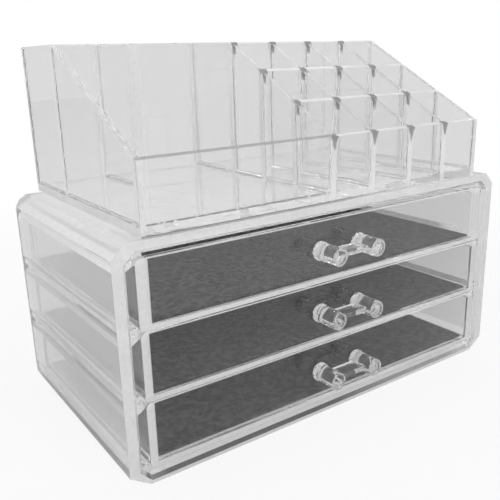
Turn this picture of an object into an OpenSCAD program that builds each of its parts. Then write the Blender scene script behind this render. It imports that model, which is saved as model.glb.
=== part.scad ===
// Clear cosmetic organiser: a case with three drawers and a tray that stands on its top.
// Origin at the centre of the case's underside. The front faces -Y, +X is to the right, +Z is up.

/* [Case] */
// Width of the case
case_w = 240; // [200:1:280]
// Depth of the case
case_d = 134; // [110:1:170]
// Thickness of each side wall
case_side_t = 6.5; // [4:0.1:8]
// Thickness of the top wall
case_top_t = 5.4; // [3:0.1:8]
// Thickness of the floor
case_floor_t = 3.4; // [2:0.1:5]
// Thickness of the back wall
case_back_t = 3; // [2:0.1:5]
// Flat on the upper long edges and around the back
case_chamfer = 6.2; // [3:0.1:8]
// Height of the flat on the lower long edges
foot_flat_h = 6.5; // [3:0.1:8]
// Width of the flat on the lower long edges
foot_flat_w = 9.8; // [3:0.1:12]
// Flat along the long inner corners of the case
inner_chamfer = 4.5; // [3:0.1:7]
// Bevel around the case's mouth
mouth_bevel = 1.6; // [0.5:0.1:2.5]

/* [Rails] */
// Thickness of the rails between the drawers
rail_t = 3.2; // [2:0.1:4]
// How far a rail reaches under a drawer's side
rail_bearing = 5; // [4.5:0.1:8]
// How far a rail rises beside the drawer that it carries
rail_guide_h = 2.5; // [2:0.1:6]
// How much thicker a rail is above and below at the case's wall
rail_root_h = 2.2; // [1:0.1:5]
// Space under the lowest drawer
under_drawer = 3.8; // [3:0.1:8]

/* [Drawers] */
// Height of a drawer's front panel
front_h = 31.8; // [26:0.1:40]
// Thickness of a drawer's front panel
front_t = 3; // [2:0.1:4]
// Thickness of the side and back walls of a drawer
drawer_wall_t = 3.6; // [2.5:0.1:4.4]
// Thickness of a drawer's floor
drawer_floor_t = 2.2; // [1.5:0.1:3]
// Radius of a drawer's lower long edges and of the front panel's corners
drawer_edge_r = 2.4; // [2:0.1:3.5]
// Radius of a drawer's inner lower corners
drawer_inner_r = 1; // [0.5:0.1:1.5]
// Air between a drawer's side wall and the case
side_gap = 3.9; // [3:0.1:8]
// Air between one front panel and the next
drawer_gap = 0.5; // [0.4:0.1:1.5]
// Air above the uppermost front panel
top_gap = 2; // [0.5:0.1:3]
// Air between a drawer and the rails that carry it
slide_clear = 0.2; // [0.1:0.05:0.3]
// Air between a drawer's side wall and the rail beside it
guide_clear = 0.4; // [0.2:0.1:1]
// Air between a drawer's side wall and the rail above it
tip_clear = 0.6; // [0.3:0.1:1]
// Air behind a closed drawer
back_clear = 2.5; // [1:0.1:5]
// How far a closed front panel lies behind the case's front edge
front_recess = 0.5; // [0:0.1:2]

/* [Handles] */
// How far a handle lies above the middle of the front panel
handle_rise = 0.8; // [-3:0.1:3]
// Distance between the two posts
post_spacing = 25; // [20:0.5:40]
// Diameter of a post
post_d = 9; // [8:0.1:14]
// How far a post stands out from the front panel
post_l = 14.5; // [12:0.5:22]
// Diameter of the foot of a post
foot_d = 9.6; // [9:0.1:15]
// Thickness of the foot of a post
foot_t = 1.2; // [0.8:0.1:2]
// Width of the rim around a post's end
rim_w = 1.1; // [0.8:0.1:2]
// Depth of the dish inside that rim
dish_depth = 0.6; // [0.3:0.1:1]
// Thickness of the web between the posts
web_t = 2.8; // [2:0.1:6]
// Distance from the front panel to the web
web_back = 3.5; // [2:0.1:4]
// Distance from the post's end to the web
web_front = 3; // [2:0.1:4]
// Diameter of the pegs that hold the handle
peg_d = 5; // [3:0.1:6]
// Air around a peg in its hole
peg_clear = 0.1; // [0.05:0.05:0.3]

/* [Liners] */
// Thickness of a liner
liner_t = 1.6; // [1:0.1:3]
// Air between a liner and the walls around it
liner_clear = 1.2; // [1:0.1:3]
// Air between a liner and the drawer's floor
liner_lift = 0.1; // [0.05:0.05:0.3]

/* [Upper tray] */
// How far the tray's sides lie inside the case's sides
tray_side_inset = 15; // [2:1:20]
// How far the tray's front lies behind the case's
tray_front_inset = 2.5; // [0:0.5:5]
// How far the tray's back lies in front of the case's
tray_back_inset = 1; // [0:0.5:5]
// Height of the tray's back
tray_back_h = 76.4; // [60:0.1:110]
// Height of the tray's front wall
tray_front_h = 31.3; // [20:0.1:50]
// Thickness of the tray's floor
tray_floor_t = 4; // [2:0.1:5]
// Thickness of the outer walls and the dividers
tray_wall_t = 2.5; // [2:0.1:3.5]
// Depth of the flat top at the front of each side wall
tray_front_flat = 1; // [0.5:0.5:15]
// Depth of the rear compartments
rear_depth = 42.3; // [30:0.1:60]
// Width of the rear compartment in the left corner
rear_corner_w = 37.7; // [25:0.1:50]
// Width of a lipstick slot, from divider to divider
slot_pitch = 26.6; // [20:0.1:30]
// Number of slots across
slot_columns = 4; // [2:1:5]
// Number of slots from front to back
slot_rows = 3; // [2:1:4]
// Radius of the compartments' lower corners
cell_r = 2; // [0.5:0.1:2.5]
// Air between the tray and the case
tray_lift = 0.1; // [0.05:0.05:0.3]

/* [Hidden] */

clear_plastic = [0.84, 0.86, 0.88, 0.55];
handle_plastic = [0.92, 0.94, 0.96, 0.7];
mesh_grey = [0.24, 0.24, 0.25];
round_fn = 48;
cut = 1;

// the case
front_y = -case_d / 2;
back_y = case_d / 2;
inside_w = case_w - 2 * case_side_t;
inside_back_y = back_y - case_back_t;

// the stack of drawers
pitch = front_h + drawer_gap;
drawer_count = 3;
first_z = case_floor_t + under_drawer;
opening_top = first_z + (drawer_count - 1) * pitch + front_h + top_gap;
case_h = opening_top + case_top_t;

// one drawer
drawer_w = inside_w - 2 * side_gap;
panel_y = front_y + front_recess;
drawer_back_y = inside_back_y - back_clear;
drawer_d = drawer_back_y - panel_y;
side_h = pitch - slide_clear - rail_t - tip_clear;
ledge_front_y = panel_y + front_t + cut;
guide_front_y = front_y + mouth_bevel + cut / 2;

// one handle
web_l = post_l - web_back - web_front;
hole_d = peg_d + 2 * peg_clear;
handle_z = front_h / 2 + handle_rise;

// the tray
tray_w = case_w - 2 * tray_side_inset;
tray_front_y = front_y + tray_front_inset;
tray_back_y = back_y - tray_back_inset;
tray_z = case_h + tray_lift;
half_wall = tray_wall_t / 2;
first_wall_y = tray_front_y + half_wall;
tall_wall_y = tray_back_y - rear_depth - tray_wall_t - half_wall;
slot_row_pitch = (tall_wall_y - first_wall_y) / slot_rows;
right_wall_x = tray_w / 2 - half_wall;
left_wall_x = -right_wall_x;
block_x = right_wall_x - slot_columns * slot_pitch;
rear_divider_x = left_wall_x + rear_corner_w + tray_wall_t;

function drawer_z(i) = first_z + i * pitch;
function rail_top(i) = drawer_z(i) - slide_clear;
function column_x(k) = block_x + k * slot_pitch;
function row_y(j) = first_wall_y + j * slot_row_pitch;

// A rectangle w by h, centred on X and standing on the X axis, with its corners cut off:
// c at the top, low_w by low_h at the bottom.
module cut_corner_profile(w, h, c, low_w, low_h) {
    polygon([[-w / 2 + low_w, 0], [w / 2 - low_w, 0], [w / 2, low_h], [w / 2, h - c],
             [w / 2 - c, h], [-w / 2 + c, h], [-w / 2, h - c], [-w / 2, low_h]]);
}

// A rectangle w by h, centred on X and standing on the X axis, with round lower corners.
module round_foot_profile(w, h, r) {
    translate([-w / 2, r]) square([w, h - r]);
    translate([-w / 2 + r, 0]) square([w - 2 * r, r]);
    for (side = [-1, 1])
        translate([side * (w / 2 - r), r]) circle(r, $fn = round_fn);
}

// The same, with all four corners round.
module panel_profile(w, h, r) {
    round_foot_profile(w, h - r, r);
    translate([0, h]) mirror([0, 1]) round_foot_profile(w, h - r, r);
}

// Stands an XZ profile up and runs it back from y0 over the length l.
module run_back(y0, l) {
    translate([0, y0 + l, 0]) rotate([90, 0, 0]) linear_extrude(l) children();
}

// The case's outside: flats on the long edges and on all edges around the back.
module case_outside() {
    c = case_chamfer;
    intersection() {
        run_back(front_y, case_d)
            cut_corner_profile(case_w, case_h, c, foot_flat_w, foot_flat_h);
        translate([-case_w / 2, 0, 0]) rotate([90, 0, 90]) linear_extrude(case_w)
            polygon([[front_y, 0], [back_y - c, 0], [back_y, c],
                     [back_y, case_h - c], [back_y - c, case_h], [front_y, case_h]]);
        linear_extrude(case_h)
            polygon([[-case_w / 2, front_y], [case_w / 2, front_y], [case_w / 2, back_y - c],
                     [case_w / 2 - c, back_y], [-case_w / 2 + c, back_y], [-case_w / 2, back_y - c]]);
    }
}

// The case's mouth: the inside's profile, widened towards the front by the bevel.
module mouth() {
    w = inside_w;
    h = opening_top - case_floor_t;
    slant = (w + h - 2 * inner_chamfer) / sqrt(2);
    translate([0, front_y, case_floor_t + h / 2]) intersection() {
        flared_slab(w, 0);
        flared_slab(h, 90);
        flared_slab(slant, 45);
        flared_slab(slant, -45);
    }
}

// A slab t thick, turned about the Y axis, that widens towards the front over the bevel's depth.
module flared_slab(t, turn) {
    out = mouth_bevel + cut;
    rotate([0, turn, 0]) linear_extrude(2 * case_w, center = true)
        polygon([[-t / 2, mouth_bevel], [-t / 2 - out, -cut], [t / 2 + out, -cut], [t / 2, mouth_bevel]]);
}

// The rail on the right-hand wall whose bearing face is at height z: a ledge under the drawer,
// and a guide beside it that thickens towards the wall.
module rail(z) {
    side_x = drawer_w / 2 + guide_clear;
    wall_x = case_w / 2;
    inside_x = inside_w / 2;
    low_z = z - rail_t - rail_root_h;
    high_z = z + rail_guide_h + rail_root_h;
    ledge_block(z - rail_t, rail_t);
    run_back(guide_front_y, back_y - guide_front_y)
        polygon([[side_x, z - rail_t], [inside_x, low_z], [wall_x, low_z], [wall_x, high_z],
                 [inside_x, high_z], [side_x, z + rail_guide_h]]);
}

// A block of height h on the right-hand wall, as wide as a rail's ledge.
module ledge_block(z0, h) {
    ledge_x = drawer_w / 2 - rail_bearing;
    translate([ledge_x, ledge_front_y, z0])
        cube([case_w / 2 - ledge_x, back_y - ledge_front_y, h]);
}

module case_shell() {
    color(clear_plastic) {
        difference() {
            case_outside();
            translate([0, 0, case_floor_t])
                run_back(front_y + mouth_bevel / 2, inside_back_y - front_y - mouth_bevel / 2)
                    cut_corner_profile(inside_w, opening_top - case_floor_t,
                                       inner_chamfer, inner_chamfer, inner_chamfer);
            mouth();
        }
        intersection() {
            case_outside();
            for (side = [0, 1]) mirror([side, 0, 0]) {
                for (i = [0 : drawer_count]) rail(rail_top(i));
                ledge_block(0, rail_top(0) - rail_t / 2);
                ledge_block(rail_top(drawer_count) - rail_t / 2, case_h - rail_top(drawer_count));
            }
        }
    }
}

module drawer(i) {
    inner_w = drawer_w - 2 * drawer_wall_t;
    color(clear_plastic) translate([0, 0, drawer_z(i)]) difference() {
        union() {
            run_back(panel_y, front_t) panel_profile(drawer_w, front_h, drawer_edge_r);
            run_back(panel_y, drawer_d) round_foot_profile(drawer_w, side_h, drawer_edge_r);
        }
        translate([0, 0, drawer_floor_t])
            run_back(panel_y + front_t, drawer_d - front_t - drawer_wall_t)
                round_foot_profile(inner_w, front_h, drawer_inner_r);
        for (side = [-1, 1])
            translate([side * post_spacing / 2, panel_y - cut, handle_z]) rotate([-90, 0, 0])
                cylinder(d = hole_d, h = front_t + 2 * cut, $fn = round_fn);
    }
}

module handle(i) {
    color(handle_plastic) translate([0, panel_y, drawer_z(i) + handle_z]) {
        for (side = [-1, 1]) translate([side * post_spacing / 2, 0, 0]) rotate([90, 0, 0]) {
            difference() {
                cylinder(d = post_d, h = post_l, $fn = round_fn);
                translate([0, 0, post_l - dish_depth])
                    cylinder(d = post_d - 2 * rim_w, h = dish_depth + cut, $fn = round_fn);
            }
            cylinder(d = foot_d, h = foot_t, $fn = round_fn);
            translate([0, 0, -front_t]) cylinder(d = peg_d, h = front_t + foot_t, $fn = round_fn);
        }
        translate([-post_spacing / 2, -web_back - web_l, -web_t / 2])
            cube([post_spacing, web_l, web_t]);
    }
}

module liner(i) {
    inner_w = drawer_w - 2 * drawer_wall_t;
    inner_d = drawer_d - front_t - drawer_wall_t;
    color(mesh_grey)
        translate([-inner_w / 2 + liner_clear, panel_y + front_t + liner_clear,
                   drawer_z(i) + drawer_floor_t + liner_lift])
            cube([inner_w - 2 * liner_clear, inner_d - 2 * liner_clear, liner_t]);
}

// One compartment between four wall centre lines.
module cell(x0, x1, y0, y1) {
    translate([(x0 + x1) / 2, 0, tray_floor_t])
        run_back(y0 + half_wall, y1 - y0 - tray_wall_t)
            round_foot_profile(x1 - x0 - tray_wall_t, tray_back_h, cell_r);
}

module upper_tray() {
    last_wall_y = tray_back_y - half_wall;
    color(clear_plastic) translate([0, 0, tray_z]) difference() {
        translate([-tray_w / 2, 0, 0]) rotate([90, 0, 90]) linear_extrude(tray_w)
            polygon([[tray_front_y, 0], [tray_back_y, 0], [tray_back_y, tray_back_h],
                     [tall_wall_y, tray_back_h], [tray_front_y + tray_front_flat, tray_front_h],
                     [tray_front_y, tray_front_h]]);
        for (k = [0 : slot_columns - 1], j = [0 : slot_rows - 1])
            cell(column_x(k), column_x(k + 1), row_y(j), row_y(j + 1));
        cell(block_x, right_wall_x, tall_wall_y, last_wall_y);
        cell(left_wall_x, block_x, first_wall_y, tall_wall_y);
        cell(left_wall_x, rear_divider_x, tall_wall_y, last_wall_y);
        cell(rear_divider_x, block_x, tall_wall_y, last_wall_y);
    }
}

case_shell();
drawer(0);  // drawer_lower
drawer(1);  // drawer_middle
drawer(2);  // drawer_upper
handle(0);  // handle_lower
handle(1);  // handle_middle
handle(2);  // handle_upper
liner(0);  // liner_lower
liner(1);  // liner_middle
liner(2);  // liner_upper
upper_tray();
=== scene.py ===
import math
import bpy
from mathutils import Matrix, Vector


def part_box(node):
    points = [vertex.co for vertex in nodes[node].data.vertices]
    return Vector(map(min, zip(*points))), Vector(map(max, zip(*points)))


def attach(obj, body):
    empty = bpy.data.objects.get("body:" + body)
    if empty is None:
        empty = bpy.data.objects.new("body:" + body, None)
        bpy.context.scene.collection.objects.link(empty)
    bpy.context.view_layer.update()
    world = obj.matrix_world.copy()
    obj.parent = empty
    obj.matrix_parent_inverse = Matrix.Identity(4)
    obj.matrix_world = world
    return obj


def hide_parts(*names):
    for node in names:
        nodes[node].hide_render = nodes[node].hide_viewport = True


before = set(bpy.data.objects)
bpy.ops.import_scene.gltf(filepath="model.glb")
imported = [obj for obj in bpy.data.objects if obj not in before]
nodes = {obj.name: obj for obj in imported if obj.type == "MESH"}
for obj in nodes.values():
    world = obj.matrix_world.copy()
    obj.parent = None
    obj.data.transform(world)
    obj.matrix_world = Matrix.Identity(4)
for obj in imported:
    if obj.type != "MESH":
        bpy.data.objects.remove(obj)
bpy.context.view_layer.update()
drawerLevels = ("lower", "middle", "upper")
sharpAngle = math.radians(40)      # edges sharper than this are rounded
print("clear organiser: frame loaded,", len(nodes), "nodes")


def addNode(tree, kind, inputs=None, **settings):
    node = tree.nodes.new(kind)
    for key, value in settings.items():
        setattr(node, key, value)
    for socket, value in (inputs or {}).items():
        if isinstance(value, bpy.types.NodeSocket):
            tree.links.new(value, node.inputs[socket])
        else:
            node.inputs[socket].default_value = value
    return node


# Sums inside a material, on places in metres, on facings and on shares from 0 to 1.
def reckon(tree, operation, *values):
    node = addNode(tree, "ShaderNodeMath", dict(enumerate(values)), operation=operation)
    return node.outputs["Value"]


def minus(tree, first, second):
    return reckon(tree, "SUBTRACT", first, second)


def absolute(tree, value):
    return reckon(tree, "ABSOLUTE", value)


def times(tree, *factors):
    product = factors[0]
    for factor in factors[1:]:
        product = reckon(tree, "MULTIPLY", product, factor)
    return product


def most(tree, *values):
    highest = values[0]
    for value in values[1:]:
        highest = reckon(tree, "MAXIMUM", highest, value)
    return highest


def over(tree, value, edge, blur):  # 1 above the edge, 0 below it
    node = addNode(tree, "ShaderNodeMapRange",
                   {"Value": value, "From Min": edge - blur, "From Max": edge + blur},
                   interpolation_type="SMOOTHSTEP")
    return node.outputs["Result"]


def under(tree, value, edge, blur):
    return minus(tree, 1.0, over(tree, value, edge, blur))


def near(tree, value, centre, reach, blur):
    return under(tree, absolute(tree, minus(tree, value, centre)), reach, blur)


def noise(tree, place, scale, detail, roughness=0.5):  # lies round a half
    return addNode(tree, "ShaderNodeTexNoise",
                   {"Vector": place, "Scale": scale, "Detail": detail,
                    "Roughness": roughness}).outputs["Fac"]


def bump(tree, height, depth, strength=1.0, normal=None):
    node = addNode(tree, "ShaderNodeBump",
                   {"Height": height, "Distance": depth, "Strength": strength})
    if normal:
        tree.links.new(normal, node.inputs["Normal"])
    return node.outputs["Normal"]


def blendColours(tree, share, first, second):
    node = addNode(tree, "ShaderNodeMix", {0: share}, data_type="RGBA")
    for socket, colour in zip([s for s in node.inputs if s.type == "RGBA"], (first, second)):
        if isinstance(colour, bpy.types.NodeSocket):
            tree.links.new(colour, socket)
        else:
            socket.default_value = colour
    return [s for s in node.outputs if s.type == "RGBA"][0]


def newMaterial(name):
    mat = bpy.data.materials.new(name)
    mat.use_nodes = True
    mat.node_tree.nodes.clear()
    return mat, mat.node_tree


def paint(piece, mat):
    if not piece.material_slots:
        piece.data.materials.append(mat)
    for part in piece.material_slots:
        part.material = mat


def softenEdges(piece, size, steps=2):
    edge = piece.modifiers.new("mouldedEdge", "BEVEL")
    edge.width = size
    edge.segments = steps
    edge.limit_method = "ANGLE"
    edge.angle_limit = sharpAngle


# Clear acrylic. The frost function gives the share of the surface that is sawn, glued or
# ground and scatters light or carries painted shade, and the share of that painted in the shade
# colour.
# Each piece's own dictionary is laid over clearSheet, and may change any of its values.
def clearAcrylic(name, spec, frost):
    mat, tree = newMaterial(name)
    texture = addNode(tree, "ShaderNodeTexCoord").outputs
    place = texture["Object"]
    where = addNode(tree, "ShaderNodeSeparateXYZ", {"Vector": place}).outputs
    facing = addNode(tree, "ShaderNodeSeparateXYZ", {"Vector": texture["Normal"]}).outputs

    smudge = noise(tree, place, spec["smudge"], 4.0)
    faint, full = spec["smudgeRange"]
    smooth, dull = spec["polish"]
    polish = addNode(tree, "ShaderNodeMapRange",
                     {"Value": smudge, "From Min": faint, "From Max": full,
                      "To Min": smooth, "To Max": dull})
    wave = bump(tree, noise(tree, place, spec["wave"], 1.0), spec["waveDepth"])
    stretch = addNode(tree, "ShaderNodeMapping",
                      {"Vector": place, "Scale": spec["hairlineStretch"]})
    hairline = noise(tree, stretch.outputs["Vector"], spec["hairline"], 2.0)
    worn = bump(tree, hairline, spec["hairlineDepth"], spec["hairlineStrength"], wave)
    clear = addNode(tree, "ShaderNodeBsdfPrincipled",
                    {"Base Color": spec["colour"], "IOR": spec["ior"], "Transmission Weight": 1.0,
                     "Roughness": polish.outputs["Result"], "Normal": worn})

    grain = noise(tree, place, spec["grain"], 2.0)
    frosted, shaded = frost(tree, where, facing, grain)
    uneven = reckon(tree, "MULTIPLY_ADD", grain, spec["uneven"], 1 - spec["uneven"] / 2)
    frosted = times(tree, frosted, uneven)
    mottle = times(tree, smudge, 2 * spec["haze"])
    milkColour = spec["milk"]
    if shaded:
        milkColour = blendColours(tree, shaded, spec["milk"], spec["shade"])
    milk = addNode(tree, "ShaderNodeBsdfDiffuse", {"Color": milkColour})
    skin = addNode(tree, "ShaderNodeMixShader",
                   {"Fac": most(tree, mottle, frosted), 1: clear.outputs["BSDF"],
                    2: milk.outputs["BSDF"]})
    through = addNode(tree, "ShaderNodeBsdfTransparent", {"Color": spec["lampPass"]})
    path = addNode(tree, "ShaderNodeLightPath")  # lets the lamps reach what is inside
    lit = addNode(tree, "ShaderNodeMixShader",
                  {"Fac": path.outputs["Is Shadow Ray"], 1: skin.outputs["Shader"],
                   2: through.outputs["BSDF"]})
    addNode(tree, "ShaderNodeOutputMaterial", {"Surface": lit.outputs["Shader"]})
    return mat


clearSheet = {
    "colour": (0.977, 0.977, 0.977, 1.0),
    "ior": 1.49,
    "polish": (0.01, 0.05),        # roughness, clean and under handling marks
    "smudge": 55.0,                # handling marks, per metre
    "smudgeRange": (0.42, 0.75),
    "haze": 0.03,                  # share of the plain surface that scatters light
    "milk": (0.90, 0.90, 0.90, 1.0),
    "shade": (0.30, 0.30, 0.30, 1.0),
    "grain": 420.0,                # bubbles in the glue and grains of the sawn edges, per metre
    "uneven": 0.2,                 # how much the grain changes the frost
    "wave": 24.0,                  # slow waviness of the moulding, per metre
    "waveDepth": 0.00005,
    "hairline": 900.0,             # fine wiping marks, per metre
    "hairlineStretch": (1.0, 0.08, 0.35),
    "hairlineStrength": 0.6,
    "hairlineDepth": 0.000002,
    "lampPass": (0.93, 0.93, 0.93, 1.0),
    "edgeRound": 0.0005,
}

# From here on lengths are in metres, frosts and shades are shares from 0 to 1, and a pair gives
# an edge and how far it fades to each side. These say how squarely a face must look that way.
facingLimits = {
    "front": (0.75, 0.15),
    "up": (0.78, 0.07),            # the tray's sloping top too
    "flat": (0.93, 0.04),
    "wall": (0.85, 0.10),
}
# how far the rim of a mark fades out
fades = {"crisp": 0.0002, "fine": 0.0003, "soft": 0.0004, "gentle": 0.0006, "broad": 0.0008}


def forwards(tree, facing):
    return reckon(tree, "MULTIPLY", facing["Y"], -1.0)


def facesFront(tree, facing):
    return over(tree, forwards(tree, facing), *facingLimits["front"])


# the case: sawn front rim and rail ends, ground flats along its edges, painted shade along the lip
# at the floor
caseFinish = {
    "haze": 0.06,
    "shade": (0.06, 0.06, 0.06, 1.0),
    "rimPlane": -0.0605,           # the rim and the rails' ends lie in front of this
    "railPlane": -0.0660,          # and the rails' ends behind this
    "rimFrost": 0.72,
    "glueBubbles": (0.58, 0.04),   # the rails' ends are clear where the grain is over this
    "flatFacing": (0.22, 0.08),
    "flatOutward": (0.0, 0.01),    # the flats along the outer edges only
    "flatFrost": 0.55,
    "sideFrost": 0.21,
    "ledgeFrom": (0.100, 0.006),   # the top beside the tray, dulled by wiping
    "ledgeFrost": 0.36,
    "lipFacing": (0.3, 0.1),
    "lipRising": (0.4, 0.1),
    "lipTop": 0.0053,
    "lipBefore": -0.0640,
    "lipFade": (0.035, 0.040),     # the painted shade ends towards the right
    "lipShadeCover": 0.50,
}


def caseFrost(tree, where, facing, grain):
    spec, soft = caseFinish, fades["soft"]
    front = times(tree, under(tree, where["Y"], spec["rimPlane"], soft), facesFront(tree, facing))
    glued = times(tree, over(tree, where["Y"], spec["railPlane"], soft),
                  over(tree, grain, *spec["glueBubbles"]))
    rim = times(tree, front, minus(tree, 1.0, glued), spec["rimFrost"])
    sides, ends, lids = (absolute(tree, facing[axis]) for axis in "XYZ")
    outward = over(tree, times(tree, where["X"], facing["X"]), *spec["flatOutward"])
    flats = times(tree, over(tree, times(tree, sides, lids), *spec["flatFacing"]), outward,
                  spec["flatFrost"])
    walls = times(tree, over(tree, most(tree, sides, facing["Z"]), *facingLimits["flat"]),
                  spec["sideFrost"])
    ledge = times(tree, over(tree, facing["Z"], *facingLimits["flat"]), spec["ledgeFrost"],
                  over(tree, absolute(tree, where["X"]), *spec["ledgeFrom"]))
    # painted shade: the lower lip of the mouth is darkened with the case's shade colour
    lipShade = times(tree, over(tree, times(tree, ends, lids), *spec["lipFacing"]),
                under(tree, where["Z"], spec["lipTop"], fades["crisp"]),
                under(tree, where["Y"], spec["lipBefore"], soft),
                over(tree, facing["Z"], *spec["lipRising"]))
    lipShade = times(tree, lipShade, under(tree, where["X"], *spec["lipFade"]))
    return most(tree, rim, flats, walls, ledge, times(tree, lipShade, spec["lipShadeCover"])), lipShade


caseShell = nodes["case_shell"]
paint(caseShell, clearAcrylic("clearCase", clearSheet | caseFinish, caseFrost))
softenEdges(caseShell, clearSheet["edgeRound"])
print("case dressed")

# the tray: pale sawn edges, crossings darkened towards the shade colour, pale glue lines down the
# walls, painted shade on the front wall's top edge, painted shadow along its foot and painted
# shade at its floor seam
trayFinish = {
    "haze": 0.02,
    "milk": (0.95, 0.95, 0.95, 1.0),
    "wave": 60.0,
    "waveDepth": 0.00006,
    "wall": 0.0025,                # where its walls stand
    "halfWidth": 0.105,
    "front": -0.0645,
    "back": 0.066,
    "slotPitch": 0.0266,
    "rowPitch": 0.02773,
    "firstSlot": -0.00265,         # the wall between the large compartment and the slots
    "firstRow": -0.06325,          # the front wall
    "tallWall": 0.01995,
    "rearDivider": -0.06355,
    "blockMargin": 0.003,
    "edgesAbove": (0.130, 0.001),
    "edgeFrost": 0.18,             # along the outer walls, the dividers and the cross walls
    "dividerFrost": 0.45,
    "crossFrost": 0.70,
    "slopeFoot": (-0.0635, 0.1424),  # its place and height at the front
    "slopeRise": 0.5404,           # to the rear, per metre
    "knotFrost": 0.85,             # the crossings, darkened towards the shade colour
    "knotSide": 0.0008,            # to the right of the divider's middle
    "knotReach": 0.0023,           # they narrow downwards
    "knotDrop": 0.0062,
    "knotRagged": 0.9,
    "knotFade": 0.2,
    "knotTop": (-0.001, 0.0005),
    "knotAhead": -0.0012,          # to the front of the cross wall's middle
    "knotsBefore": (0.100, 0.0005),  # none on the right wall
    "glueWidth": 0.0016,
    "glueFrost": 0.70,
    "rearFrom": 0.0005,            # how softly they start behind the tall wall
    "rearWidth": 0.0029,           # the rear dividers' lines are broad and bright
    "rearFrost": 0.85,
    "cornerFrost": 0.34,
    "innerFace": 0.0003,           # just behind the front wall's inner face
    "sillLeft": 0.001,
    "sillShade": 0.80,             # painted shade: the front wall's top edge is greyer than the other edges
    "sillFrostAndShade": 0.75,
    "footHeight": (0.1116, 0.0001),  # painted shadow: a dark line where the tray stands on the case
    "footFacing": (0.3, 0.1),
    "footFade": (0.045, 0.050),
    "footShadowCover": 0.95,
    "footShade": 1.0,
    "floorTop": 0.1154,            # painted shade: a dark line where the front wall meets the floor
    "seamReach": 0.0006,
    "seamBubbles": (0.40, 0.05),
    "seamFade": (0.0, 0.02),
    "seamShadeCover": 0.85,
    "skirtFrost": 0.70,            # the floor's own edge at the sides
}


def fromWall(tree, place, first, pitch):  # how far from the nearest of a row of walls
    return reckon(tree, "WRAP", minus(tree, place, first), pitch / 2, -pitch / 2)


def trayKnots(tree, where, grain, fromSlot, fromRow, inBlock):
    spec = trayFinish
    footY, footZ = spec["slopeFoot"]
    slope = reckon(tree, "MULTIPLY_ADD", where["Y"], spec["slopeRise"],
                   footZ - footY * spec["slopeRise"])
    drop = minus(tree, slope, where["Z"])
    aside = absolute(tree, minus(tree, fromSlot, spec["knotSide"]))
    ragged = reckon(tree, "MULTIPLY_ADD", grain, spec["knotRagged"], -spec["knotRagged"] / 2)
    taper = reckon(tree, "ADD", times(tree, aside, 1 / spec["knotReach"]),
                   reckon(tree, "MULTIPLY_ADD", drop, 1 / spec["knotDrop"], ragged))
    return times(tree, inBlock, under(tree, taper, 1.0, spec["knotFade"]),
                 over(tree, drop, *spec["knotTop"]),
                 near(tree, fromRow, spec["knotAhead"], spec["wall"], fades["gentle"]),
                 under(tree, where["X"], *spec["knotsBefore"]))


def trayGlue(tree, where, turned, fromSlot, fromRow, inBlock):
    spec, fine, soft, broad = trayFinish, fades["fine"], fades["soft"], fades["broad"]
    width, rearWidth, wall = spec["glueWidth"], spec["rearWidth"], spec["wall"]
    inside = spec["halfWidth"] - wall
    behind = over(tree, where["Y"], spec["tallWall"] - wall, spec["rearFrom"])
    onRear = times(tree, behind, most(tree, *(near(tree, where["X"], spec[line], rearWidth, broad)
                                              for line in ("rearDivider", "firstSlot"))))
    onBack = times(tree, near(tree, where["Y"], spec["back"] - wall / 2, rearWidth, broad),
                   under(tree, absolute(tree, where["X"]), inside, fine))
    onSlot = times(tree, inBlock, near(tree, fromSlot, 0.0, width, soft))
    onRow = times(tree, inBlock, near(tree, fromRow, 0.0, width, soft))
    onWall = near(tree, where["Y"], spec["tallWall"], width, soft)
    lines = most(tree, times(tree, turned["Y"], onSlot), times(tree, turned["X"], onRow),
                 times(tree, turned["X"], onWall))
    glue = times(tree, lines, spec["glueFrost"])
    rearLines = most(tree, times(tree, turned["Y"], onRear), times(tree, turned["X"], onBack))
    rear = times(tree, rearLines, spec["rearFrost"])
    corners = times(tree, over(tree, absolute(tree, where["X"]), inside, fine),
                    most(tree, under(tree, where["Y"], spec["front"] + wall, fine),
                         over(tree, where["Y"], spec["back"] - wall, fine)), spec["cornerFrost"])
    return most(tree, glue, rear, corners)


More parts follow.
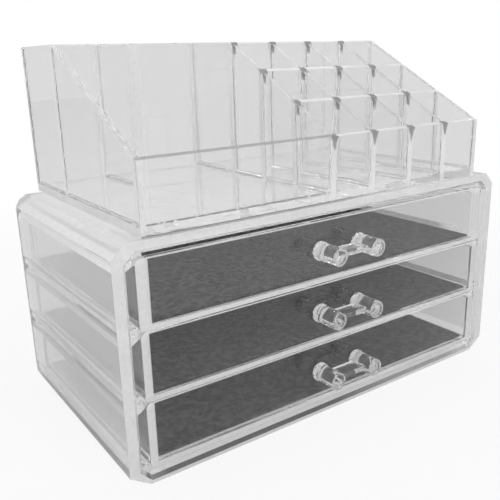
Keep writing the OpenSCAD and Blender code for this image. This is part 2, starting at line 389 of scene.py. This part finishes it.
def trayFrost(tree, where, facing, grain):
    spec, crisp, fine = trayFinish, fades["crisp"], fades["fine"]
    wall, inner = spec["wall"], spec["front"] + spec["wall"] + spec["innerFace"]
    fromSlot = fromWall(tree, where["X"], spec["firstSlot"], spec["slotPitch"])
    fromRow = fromWall(tree, where["Y"], spec["firstRow"], spec["rowPitch"])
    inBlock = times(tree, over(tree, where["X"], spec["firstSlot"] - spec["blockMargin"], fine),
                    under(tree, where["Y"], spec["tallWall"] + wall, fine))
    turned = {axis: over(tree, absolute(tree, facing[axis]), *facingLimits["wall"])
              for axis in "XY"}

    upward = over(tree, facing["Z"], *facingLimits["up"])
    edges = times(tree, over(tree, where["Z"], *spec["edgesAbove"]), upward)
    divider = times(tree, inBlock, near(tree, fromSlot, 0.0, wall / 2, fine), spec["dividerFrost"])
    cross = times(tree, inBlock, near(tree, fromRow, 0.0, wall / 2, fine), spec["crossFrost"])
    sawn = times(tree, edges, most(tree, divider, cross, spec["edgeFrost"]))
    knot = trayKnots(tree, where, grain, fromSlot, fromRow, inBlock)
    glue = trayGlue(tree, where, turned, fromSlot, fromRow, inBlock)

    # painted shade on the front wall's top edge, over its sawn frost
    shadedSill = times(tree, edges, under(tree, where["X"], spec["firstSlot"], spec["sillLeft"]),
                 under(tree, where["Y"], inner, crisp))
    # painted shadow along the front wall's foot, where the tray stands on the case
    foot = times(tree, under(tree, where["Z"], *spec["footHeight"]),
                 over(tree, forwards(tree, facing), *spec["footFacing"]),
                 under(tree, where["X"], *spec["footFade"]))
    # painted shade in the corner where the front wall meets the floor
    seamShade = times(tree, near(tree, where["Y"], inner, spec["seamReach"], crisp),
                 near(tree, where["Z"], spec["floorTop"], spec["seamReach"], crisp),
                 over(tree, grain, *spec["seamBubbles"]),
                 under(tree, where["X"], *spec["seamFade"]))
    skirt = times(tree, turned["X"], under(tree, where["Z"], spec["floorTop"], fades["gentle"]),
                  spec["skirtFrost"])
    frosted = most(tree, sawn, glue, times(tree, knot, spec["knotFrost"]),
                   times(tree, shadedSill, spec["sillFrostAndShade"]), times(tree, foot, spec["footShadowCover"]),
                   times(tree, seamShade, spec["seamShadeCover"]), skirt)
    shaded = most(tree, knot, times(tree, shadedSill, spec["sillShade"]),
                  times(tree, foot, spec["footShade"]), seamShade)
    return frosted, shaded


upperTray = nodes["upper_tray"]
paint(upperTray, clearAcrylic("clearTray", clearSheet | trayFinish, trayFrost))
softenEdges(upperTray, clearSheet["edgeRound"])
print("tray dressed")

# the drawers: pale bands where the walls and the floor are glued behind the front panel
panelFinish = {
    "haze": 0.01,
    # the upper drawer's bands are wider
    "bandFrom": {"lower": 0.1058, "middle": 0.1058, "upper": 0.1040},
    "foot": 0.0023,                # up from the drawer's underside
    "top": 0.0311,
    "bandFrost": 0.72,
    "sideFrost": 0.06,
    "edgeRound": 0.0004,
}


def panelFrost(level, base):
    spec, fine = panelFinish, fades["fine"]

    def frost(tree, where, facing, grain):
        side = over(tree, absolute(tree, where["X"]), spec["bandFrom"][level], fine)
        height = minus(tree, where["Z"], base)
        ends = most(tree, side, under(tree, height, spec["foot"], fine),
                    over(tree, height, spec["top"], fades["crisp"]))
        bands = times(tree, ends, facesFront(tree, facing), spec["bandFrost"])
        walls = times(tree, over(tree, absolute(tree, facing["X"]), *facingLimits["flat"]),
                      spec["sideFrost"])
        return most(tree, bands, walls), None
    return frost


# the handles: clear posts with a glued root and a ground rim around the end
postFinish = {
    "colour": (0.99, 0.99, 0.99, 1.0),
    "polish": (0.0, 0.03),
    "haze": 0.01,
    "wave": 320.0,
    "waveDepth": 0.00016,
    "hairline": 1500.0,
    "hairlineDepth": 0.000001,
    "grain": 650.0,
    "rootDepth": 0.0026,           # the glue reaches this far out from the panel
    "rootRagged": 0.006,
    "rootBubbles": (0.44, 0.05),
    "rootFrost": 0.85,
    "ringBeyond": 0.0135,          # out from the front panel
    "spread": 0.0125,              # from the middle to a post's axis
    "ringFrom": 0.0035,
    "ringFrost": 0.10,
    "edgeRound": 0.0003,
}


def postFrost(panelY, axisZ):
    spec, fine = postFinish, fades["fine"]

    def frost(tree, where, facing, grain):
        out = minus(tree, panelY, where["Y"])
        ragged = reckon(tree, "MULTIPLY_ADD", minus(tree, grain, 0.5), spec["rootRagged"], out)
        root = times(tree, under(tree, ragged, spec["rootDepth"], fine),
                     over(tree, grain, *spec["rootBubbles"]), spec["rootFrost"])
        across = minus(tree, absolute(tree, where["X"]), spec["spread"])
        up = minus(tree, where["Z"], axisZ)
        radius = reckon(tree, "SQRT", reckon(tree, "ADD", times(tree, across, across),
                                             times(tree, up, up)))
        ring = times(tree, over(tree, radius, spec["ringFrom"], fades["crisp"]),
                     facesFront(tree, facing), over(tree, out, spec["ringBeyond"], fine),
                     spec["ringFrost"])
        return most(tree, root, ring), None
    return frost


for level in drawerLevels:
    drawer, handle = nodes["drawer_" + level], nodes["handle_" + level]
    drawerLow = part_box("drawer_" + level)[0]
    postLow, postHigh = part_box("handle_" + level)
    axisZ = (postLow[2] + postHigh[2]) / 2
    paint(drawer, clearAcrylic("clearDrawer_" + level, clearSheet | panelFinish,
                               panelFrost(level, drawerLow[2])))
    softenEdges(drawer, panelFinish["edgeRound"])
    paint(handle, clearAcrylic("clearHandle_" + level, clearSheet | postFinish,
                               postFrost(drawerLow[1], axisZ)))
    softenEdges(handle, postFinish["edgeRound"])
print("drawers and handles dressed")

# the mesh pads on the drawers' floors
meshPad = {
    "thread": (0.008, 0.008, 0.008, 1.0),
    "threadLight": (0.140, 0.140, 0.144, 1.0),
    "hole": (0.004, 0.004, 0.004, 1.0),
    "cell": 1.6,                   # mm from one mesh hole to the next
    "slant": 45,                   # degrees between the mesh and the drawer
    "unevenCells": 0.12,
    "threadFrom": (0.30, 0.08),    # distance from a hole's middle, in cells
    "fibre": 2400.0,               # per metre
    "lint": 320.0,                 # per metre
    "lintRoughness": 0.7,
    "lintFrom": (0.5, 0.09),
    "bumpStrength": 0.9,
    "bumpDepth": 0.0003,
    "roughness": 0.82,
    "sheen": 0.05,
    "sheenRoughness": 0.5,
    "shine": 0.3,
    "thick": 0.0014,
    "edgeRound": 0.0005,
    "edgeSteps": 3,
    "ripple": 0.00012,
    "ripples": ((61, 23, 0.0), (-17, 78, 1.3)),  # radians per metre across and back, and a shift
    "columns": 84,
    "rows": 48,
}


def meshCloth(name, spec):
    mat, tree = newMaterial(name)
    place = addNode(tree, "ShaderNodeTexCoord").outputs["Object"]
    turned = addNode(tree, "ShaderNodeMapping",
                     {"Vector": place, "Rotation": (0.0, 0.0, math.radians(spec["slant"]))})
    cells = addNode(tree, "ShaderNodeTexVoronoi",
                    {"Vector": turned.outputs["Vector"], "Scale": 1000.0 / spec["cell"],
                     "Randomness": spec["unevenCells"]}, distance="MANHATTAN")
    thread = over(tree, cells.outputs["Distance"], *spec["threadFrom"])
    fibre = noise(tree, place, spec["fibre"], 3.0)
    lint = noise(tree, place, spec["lint"], 4.0, spec["lintRoughness"])
    pale = times(tree, over(tree, lint, *spec["lintFrom"]), fibre)
    worn = blendColours(tree, pale, spec["thread"], spec["threadLight"])
    weave = bump(tree, reckon(tree, "ADD", thread, fibre), spec["bumpDepth"], spec["bumpStrength"])
    cloth = addNode(tree, "ShaderNodeBsdfPrincipled",
                    {"Base Color": blendColours(tree, thread, spec["hole"], worn),
                     "Roughness": spec["roughness"], "Sheen Weight": spec["sheen"],
                     "Sheen Roughness": spec["sheenRoughness"],
                     "Specular IOR Level": spec["shine"], "Normal": weave})
    addNode(tree, "ShaderNodeOutputMaterial", {"Surface": cloth.outputs["BSDF"]})
    return mat


def addPiece(name, data):
    piece = bpy.data.objects.new(name, data)
    bpy.context.scene.collection.objects.link(piece)
    return piece


def layPad(level, cloth):
    spec = meshPad
    columns, rows = spec["columns"], spec["rows"]
    low, high = (Vector(corner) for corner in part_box("liner_" + level))
    across, along = high.x - low.x, high.y - low.y
    top, base = [], []
    for j in range(rows + 1):
        y = low.y + along * j / rows
        for i in range(columns + 1):
            x = low.x + across * i / columns
            wave = math.prod(math.sin(x * a + y * b + shift) for a, b, shift in spec["ripples"])
            top.append((x, y, low.z + spec["thick"] + spec["ripple"] * (wave - 1)))
            base.append((x, y, low.z))
    line, below = columns + 1, len(top)
    faces = []
    for j in range(rows):
        for k in range(j * line, j * line + columns):
            faces.append((k, k + 1, k + line + 1, k + line))
            faces.append(tuple(below + corner for corner in (k, k + line, k + line + 1, k + 1)))
    rim = [*range(columns), *range(columns, rows * line + columns, line),
           *range(rows * line + columns, rows * line, -1), *range(rows * line, 0, -line)]
    for here, ahead in zip(rim, rim[1:] + rim[:1]):
        faces.append((below + here, below + ahead, ahead, here))
    data = bpy.data.meshes.new("pad_" + level)
    data.from_pydata(top + base, [], faces)
    for face in data.polygons:
        face.use_smooth = True
    pad = addPiece("pad_" + level, data)
    softenEdges(pad, spec["edgeRound"], spec["edgeSteps"])
    paint(pad, cloth)
    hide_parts("liner_" + level)
    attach(pad, level + "_drawer")


darkMesh = meshCloth("darkMesh", meshPad)
for level in drawerLevels:
    layPad(level, darkMesh)
print("mesh pads laid")

studio = {
    "white": (1.0, 1.0, 1.0, 1.0),
    "floor": (0.80, 0.80, 0.80, 1.0),
    "floorSize": 3.0,
    "floorHeight": -0.0002,
    "floorFade": (0.15, 0.70),     # from here out the floor goes over to plain white
    "floorGlow": 0.85,             # how much of the floor's own shading the camera loses
    "throughPlastic": 0.74,        # brightness of the room behind clear plastic
    "roomFront": (0.50, 0.50, 0.50, 1.0),
    "roomBack": (0.80, 0.80, 0.80, 1.0),
    "roomDepth": (-0.9, 0.6),      # the grey goes over from the front's to the back's here
    "roomStrength": 0.85,
}
rayKinds = (("Is Camera Ray", 1.0), ("Is Transmission Ray", studio["throughPlastic"]))


def makeFloor():
    size, height = studio["floorSize"], studio["floorHeight"]
    data = bpy.data.meshes.new("floor")
    corners = [(x * size, y * size, height) for x, y in ((-1, -1), (1, -1), (1, 1), (-1, 1))]
    data.from_pydata(corners, [], [(0, 1, 2, 3)])
    floor = addPiece("floor", data)
    mat, tree = newMaterial("paleFloor")
    skin = addNode(tree, "ShaderNodeBsdfDiffuse", {"Color": studio["floor"]}).outputs["BSDF"]
    path = addNode(tree, "ShaderNodeLightPath")
    place = addNode(tree, "ShaderNodeTexCoord")
    away = addNode(tree, "ShaderNodeVectorMath", {0: place.outputs["Object"]}, operation="LENGTH")
    fade = addNode(tree, "ShaderNodeMapRange",
                   {"Value": away.outputs["Value"], "From Min": studio["floorFade"][0],
                    "From Max": studio["floorFade"][1], "To Min": studio["floorGlow"]},
                   interpolation_type="SMOOTHSTEP")
    for ray, strength in rayKinds:
        glow = addNode(tree, "ShaderNodeEmission",
                       {"Color": studio["white"], "Strength": strength})
        share = times(tree, path.outputs[ray], fade.outputs["Result"])
        skin = addNode(tree, "ShaderNodeMixShader",
                       {"Fac": share, 1: skin, 2: glow.outputs["Emission"]}).outputs["Shader"]
    addNode(tree, "ShaderNodeOutputMaterial", {"Surface": skin})
    paint(floor, mat)


def makeRoom():
    world = bpy.data.worlds.new("studio")
    bpy.context.scene.world = world
    world.use_nodes = True
    tree = world.node_tree
    tree.nodes.clear()
    place = addNode(tree, "ShaderNodeTexCoord")
    split = addNode(tree, "ShaderNodeSeparateXYZ", {"Vector": place.outputs["Generated"]})
    depth = addNode(tree, "ShaderNodeMapRange",
                    {"Value": split.outputs["Y"], "From Min": studio["roomDepth"][0],
                     "From Max": studio["roomDepth"][1]})
    walls = blendColours(tree, depth.outputs["Result"], studio["roomFront"], studio["roomBack"])
    sky = addNode(tree, "ShaderNodeBackground",
                  {"Color": walls, "Strength": studio["roomStrength"]}).outputs["Background"]
    path = addNode(tree, "ShaderNodeLightPath")
    for ray, strength in rayKinds:
        plain = addNode(tree, "ShaderNodeBackground",
                        {"Color": studio["white"], "Strength": strength}).outputs["Background"]
        sky = addNode(tree, "ShaderNodeMixShader",
                      {"Fac": path.outputs[ray], 1: sky, 2: plain}).outputs["Shader"]
    addNode(tree, "ShaderNodeOutputWorld", {"Surface": sky})


# square lamps, all aimed at the organiser's middle: place and side in metres, power in watts
lamps = {
    "softTop": {"place": (0.1, 0.1, 1.3), "side": 0.9, "power": 3.5},
    "softLeft": {"place": (-1.1, -0.5, 0.8), "side": 0.6, "power": 2.6},
    "softFront": {"place": (0.45, -1.3, 0.9), "side": 0.7, "power": 5.0},
    "glintFront": {"place": (0.50, -0.75, 0.60), "side": 0.10, "power": 0.25},
    "glintBack": {"place": (0.1, 0.9, 1.0), "side": 0.12, "power": 0.4},
}
lampAim = Vector((0, 0, 0.08))


def makeLamp(name, spec):
    data = bpy.data.lights.new(name, "AREA")
    data.shape = "SQUARE"
    data.size = spec["side"]
    data.energy = spec["power"]
    lamp = addPiece(name, data)
    lamp.location = spec["place"]
    lamp.rotation_euler = (lampAim - lamp.location).to_track_quat("-Z", "Y").to_euler()


makeFloor()
makeRoom()
for name, spec in lamps.items():
    makeLamp(name, spec)

# the photograph's viewpoint, with its turns in degrees
view = {
    "place": (-0.2100, -0.2937, 0.1796),
    "turn": -34.5,
    "tilt": 90 - 16.7,             # 90 looks level
    "roll": -1.6,
    "lens": 46.4,
    "sensor": 36.0,
    "nearest": 0.01,
}
lightBounces = {"long": 96, "clearLayers": 32}  # light runs a long way inside the walls


def makeCamera(spec):
    data = bpy.data.cameras.new("camera")
    data.lens = spec["lens"]
    data.sensor_width = spec["sensor"]
    data.clip_start = spec["nearest"]
    camera = addPiece("camera", data)
    turn, tilt, roll = (math.radians(spec[key]) for key in ("turn", "tilt", "roll"))
    camera.matrix_world = (Matrix.Translation(spec["place"]) @ Matrix.Rotation(turn, 4, "Z")
                           @ Matrix.Rotation(tilt, 4, "X") @ Matrix.Rotation(roll, 4, "Z"))
    return camera


scene = bpy.context.scene
scene.camera = makeCamera(view)
scene.view_settings.view_transform = "Standard"
scene.cycles.max_bounces = lightBounces["long"]
scene.cycles.transmission_bounces = lightBounces["long"]
scene.cycles.glossy_bounces = lightBounces["long"]
scene.cycles.transparent_max_bounces = lightBounces["clearLayers"]
print("studio set")
